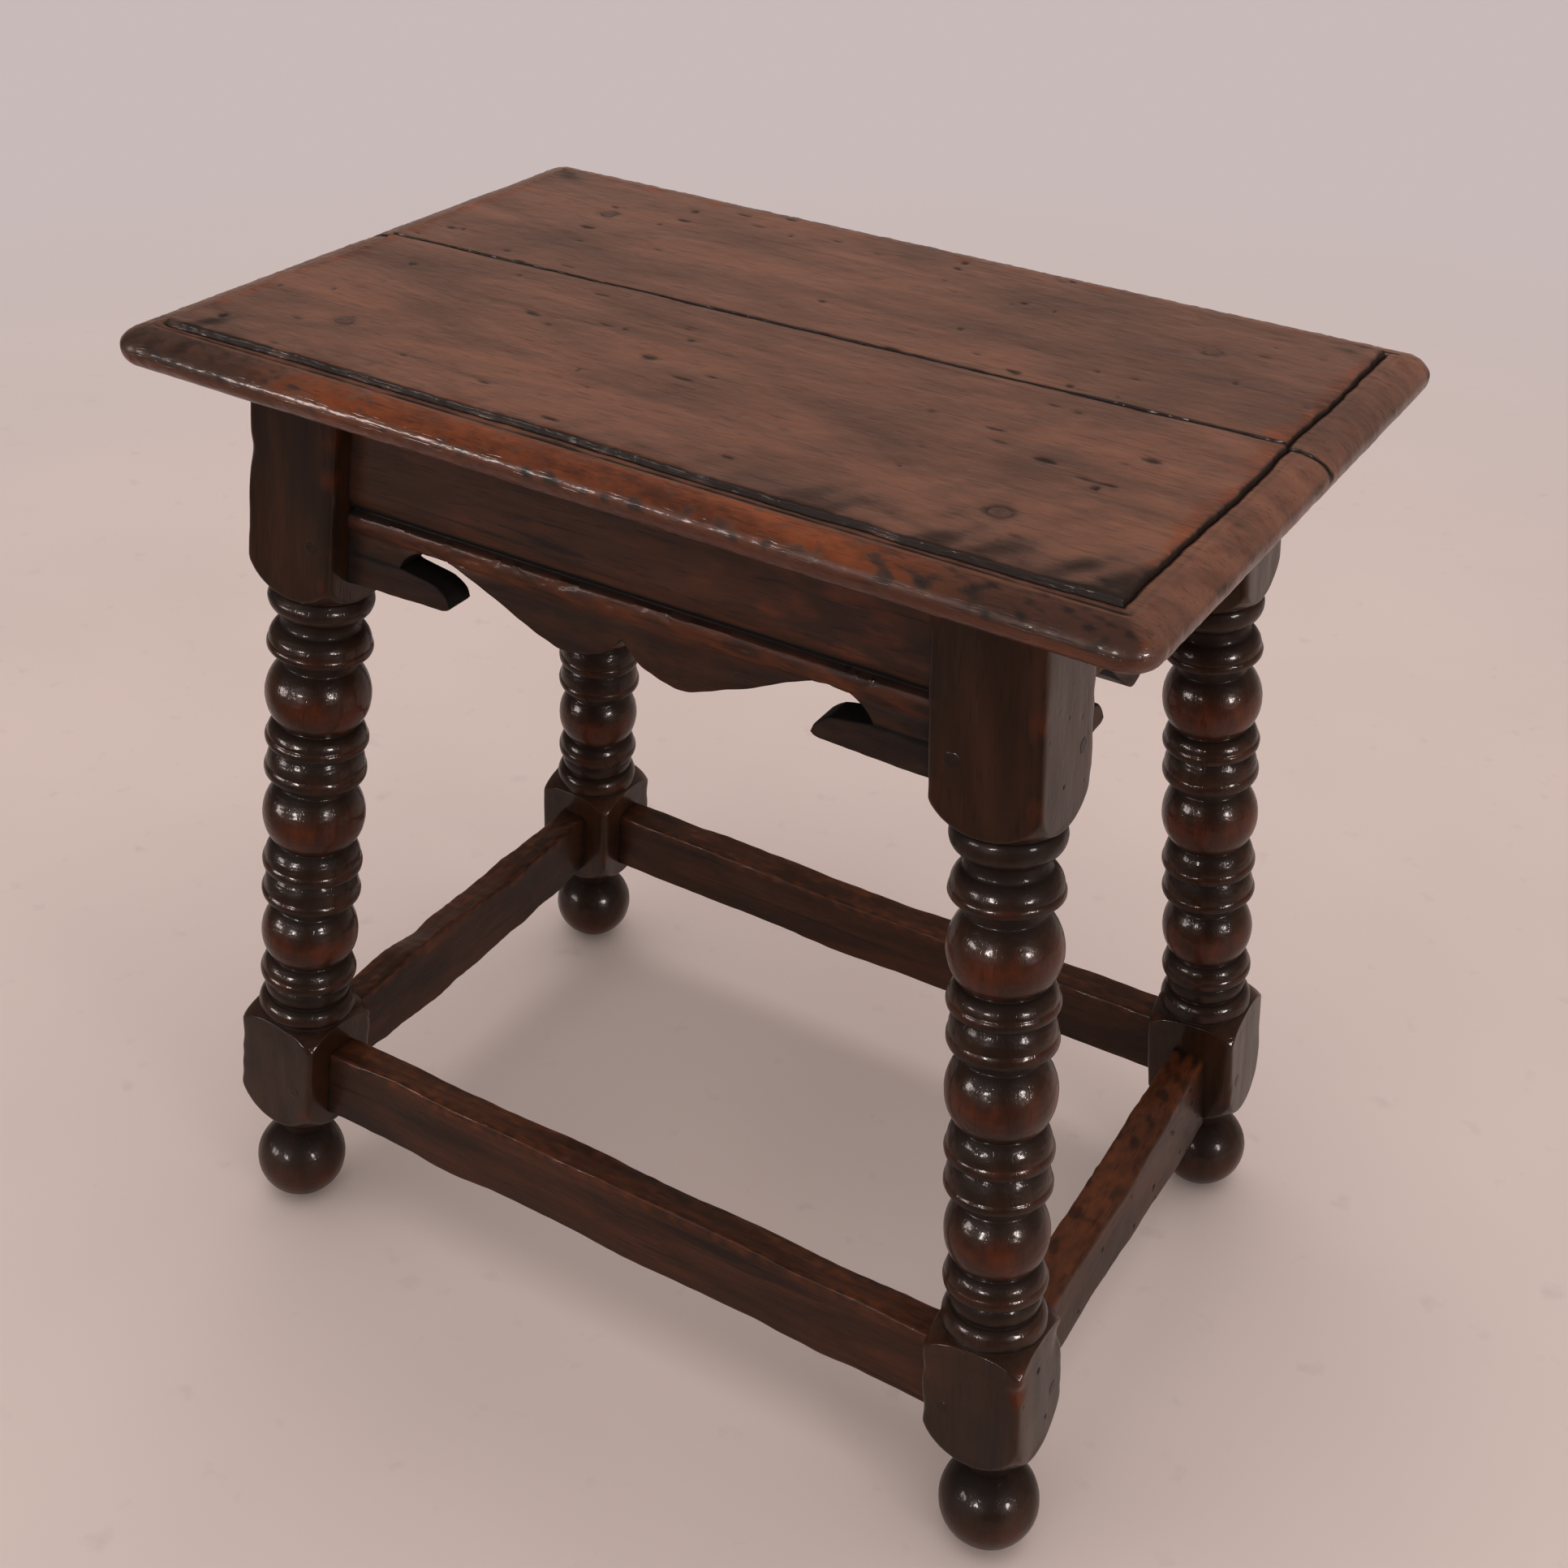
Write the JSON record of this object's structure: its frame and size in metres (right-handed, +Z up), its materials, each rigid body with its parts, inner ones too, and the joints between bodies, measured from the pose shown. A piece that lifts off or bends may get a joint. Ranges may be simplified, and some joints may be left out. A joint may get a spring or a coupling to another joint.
{
  "type": "joint stool",
  "caption": "Low oak joint stool with bobbin-and-ring turned splayed legs, hooked and lobed rails, plain stretchers and a moulded two-board top.",
  "frame": {"origin": "on the floor under the middle of the stool", "axes": "+Z up, +X along the length of the top, +Y to the back"},
  "size_m": [0.5178, 0.3466, 0.53],
  "materials": {
    "top_oak": "waxed and worn",
    "frame_oak": "dark wax polish",
    "peg_oak": "dark wax polish"
  },
  "bodies": {
    "root": {"top_front_board": "top_oak", "top_rear_board": "top_oak", "front_left_leg": "frame_oak", "front_right_leg": "frame_oak", "back_left_leg": "frame_oak", "back_right_leg": "frame_oak", "front_rail": "frame_oak", "back_rail": "frame_oak", "left_rail": "frame_oak", "right_rail": "frame_oak", "front_stretcher": "frame_oak", "back_stretcher": "frame_oak", "left_stretcher": "frame_oak", "right_stretcher": "frame_oak", "top_pegs": "peg_oak", "rail_pegs": "peg_oak", "stretcher_pegs": "peg_oak"}
  },
  "joints": []
}
